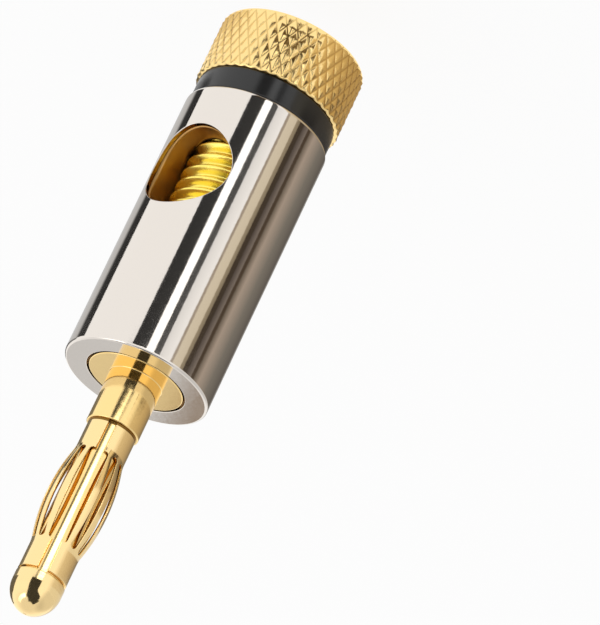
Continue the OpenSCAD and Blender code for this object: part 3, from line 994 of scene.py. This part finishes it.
# Dark upright cards: heights, the left and right edge at each, and the tone. The rounded tip alone shows
# the first ones, and the shank and the hub show the last in each other
UPRIGHT_DISTANCE = 109.0
TIP_BALL_R = 1.95
TIP_CARD_SHARE = 0.06
TIP_CARDS = [
    ("tip_dark", (0.4, 70.0, 85.0, 98.0, 108.0, 118.0, 130.0, 150.0, 205.0),
     (19.5, 19.5, 19.5, 19.5, 19.8, 20.2, 20.6, 21.5, 22.5),
     (-4.0, -4.0, -4.5, -6.5, -10.5, -15.5, -19.5, -22.0, -23.0), DARK_TONE),
    ("tip_edge", (5.0, 30.0, 50.0, 68.0), (84.0, 84.0, 84.0, 80.0), (56.0, 56.0, 58.0, 63.0), grey(0.14)),
]
FOOT_CARD = ((0.4, 70.0, 85.0, 98.0, 118.0), (19.5,) * 5, (-4.0, -4.0, -4.5, -6.5, -15.5))

# Cards behind the plug that the flat front faces show: distance, foot, top and columns, then sides and tones
BACK_DISTANCE = 200.0
BACK_FOOT = 100.0
BACK_TOP = 138.0
BACK_COLUMNS = 12
BACK_CARDS = [
    ("back_mid", 14, -3, grey(0.72), grey(0.74)),
    ("back_right", -3, -7, grey(0.74), (0.38, 0.31, 0.25)),
    ("back_far_right", -7, -14, (0.38, 0.31, 0.25), (0.4, 0.34, 0.28)),
]

# Floor below the screw when it is backed out: level in millimetres, reach in metres, paint, the share that
# glows and how bright it is in the metal
FLOOR_LEVEL = -6.3
FLOOR_REACH = 3.0
FLOOR_PAINT = grey(0.9)
FLOOR_GLOW = 0.85
FLOOR_IN_METAL = 1.18

# Sky: where its right side is clear and where it is dim, how that leans with height, what the dim side
# keeps, and the height and strength where the fall to the top starts and ends
SKY_CLEAR = -0.58
SKY_DIM = -0.9
SKY_LEAN = -0.25
SKY_SHARE = 0.68
SKY_LOW = (0.45, 1.15)
SKY_TOP = (0.9, 0.86)

# Metals: polished plating and a paler copy of it as painted highlight tint, the stud's plating made yellower
# as painted reflection, raw brass in the barrel made darker also as painted shade, painted shade in narrow
# gaps, the tints of grooves (painted shade in the knurl and inside the spring) and of bare walls, and bright
# plating on the sleeve
GOLD = (0.96, 0.70, 0.30)
PAINTED_HIGHLIGHT_GOLD = (0.96, 0.72, 0.35)
STUD_PAINTED_REFLECTION_GOLD = (1.0, 0.82, 0.19)
# Raw brass of the barrel, also made darker as painted shade inside the wire hole and the bore
RAW_BRASS_AND_SHADE = (0.56, 0.32, 0.11)
PAINTED_GAP_SHADE = (0.24, 0.13, 0.03)
PAINTED_KNURL_SHADE = (0.5, 0.3, 0.08)
BARE_BROWN = (0.36, 0.21, 0.07)
SPRING_INSIDE_SHADE = (0.6, 0.34, 0.08)
CHROME = (0.74, 0.69, 0.635)
RING_BLACK = grey(0.012)

# Roughness of the finishes, and the groove depth at which a tint starts
BRIGHT = 0.07
POLISH = 0.1
SATIN = 0.2
STUD_SATIN = 0.25
GAP_MATT = 0.3
RAW_MATT = 0.4
RING_GLOSS = 0.22
GROOVE_FROM = 0.55

# Grain of the metals: size across, size along and depth of its marks in millimetres
TURNED_GRAIN = (0.5, 0.4, 0.0015)
ROLLED_GRAIN = (0.6, 0.8, 0.002)
SLEEVE_GRAIN = (0.5, 0.4, 0.0018)
SCREW_GRAIN = (0.5, 0.5, 0.004)

# Noise in the metals: its scale, the band of values that counts and the shares of the roughness it gives.
# Peel of the plastic: its scale, its strength and its depth in millimetres
NOISE_SCALE = 900.0
NOISE_BAND = (0.3, 0.7)
NOISE_SPREAD = (0.8, 1.25)
PEEL_SCALE = 2500.0
PEEL_STRENGTH = 0.05
PEEL_DEPTH = 0.02

# Coats of each metal piece: the height each starts at, its colour and its roughness, up to the top height
COATS_TOP = 50.0
# The dark brown bands at the shank's step and at the tip's shoulder, and the spring's two ends, are painted
# shade where parts meet
CORE_COATS = [(0, RAW_BRASS_AND_SHADE, RAW_MATT), (SEAT, GOLD, POLISH), (STEP - 0.01, PAINTED_GAP_SHADE, GAP_MATT),
              (STEP + 0.05, GOLD, POLISH), (SHOULDER - 0.03, PAINTED_GAP_SHADE, GAP_MATT),
              (SHOULDER + 0.03, PAINTED_HIGHLIGHT_GOLD, POLISH)]
# The tip and the spring take a paler copy of the gold plating as a painted highlight tint
SPRING_COATS = [(0, PAINTED_GAP_SHADE, GAP_MATT), (STEP + 0.01, PAINTED_HIGHLIGHT_GOLD, POLISH),
                (SHOULDER - 0.22, PAINTED_GAP_SHADE, GAP_MATT)]
SLEEVE_COATS = [(0, CHROME, BRIGHT)]
# The stud's gold is made yellower as painted reflection of the gold around it in the wire hole
SCREW_COATS = [(0, GOLD, SATIN), (HEAD_TOP, STUD_PAINTED_REFLECTION_GOLD, STUD_SATIN)]

make_camera()
make_floor()
make_sky()
for card in NEAR_CARDS:
    floor_card(*card[:3], NEAR_FROM, NEAR_REACH, 0, *card[3:])
for card in HEAD_CARDS:
    floor_card(*card[:5], 0, *card[5:])
for card in FAR_CARDS:
    floor_card(*card)
floor_card(*TIP_LAMP)
for card in DARK_CARDS:
    floor_card(*card[:6], DARK_TONE, DARK_TONE, level=card[6])
for card in TIP_CARDS:
    tip_card(*card)
hang_card("shank_dark", upright_grid(*FOOT_CARD), DARK_TONE, DARK_TONE, twice=True)
for card in BACK_CARDS:
    back_card(*card)
# Groove tints: none on the core, bare brass on the sleeve's hole wall, painted shade inside the spring and
# in the knurl's grooves
gold_core = metal("gold_core", CORE_COATS, TURNED_GRAIN, PAINTED_GAP_SHADE, 0.0)
gold_spring = metal("gold_spring", SPRING_COATS, ROLLED_GRAIN, SPRING_INSIDE_SHADE, 1.0)
chrome = metal("chrome_sleeve", SLEEVE_COATS, SLEEVE_GRAIN, BARE_BROWN, 1.0)
black = plastic("black_ring", RING_BLACK, RING_GLOSS)
gold_screw = metal("gold_screw", SCREW_COATS, SCREW_GRAIN, PAINTED_KNURL_SHADE, 0.6)

skin("sleeve_tube", sleeve_patches(), "plug_body", "outer_sleeve", chrome)
skin("core_turned", core_patches(), "plug_body", "plug_core", gold_core)
skin("ring_plain", ring_patches(), "ring_body", "colour_ring", black)
skin("screw_knurled", screw_patches(), "screw_body", "clamp_screw", gold_screw)
skin("spring_rolled", spring_patches(), "plug_body", "contact_spring", gold_spring)

bpy.context.scene.view_settings.view_transform = "Standard"
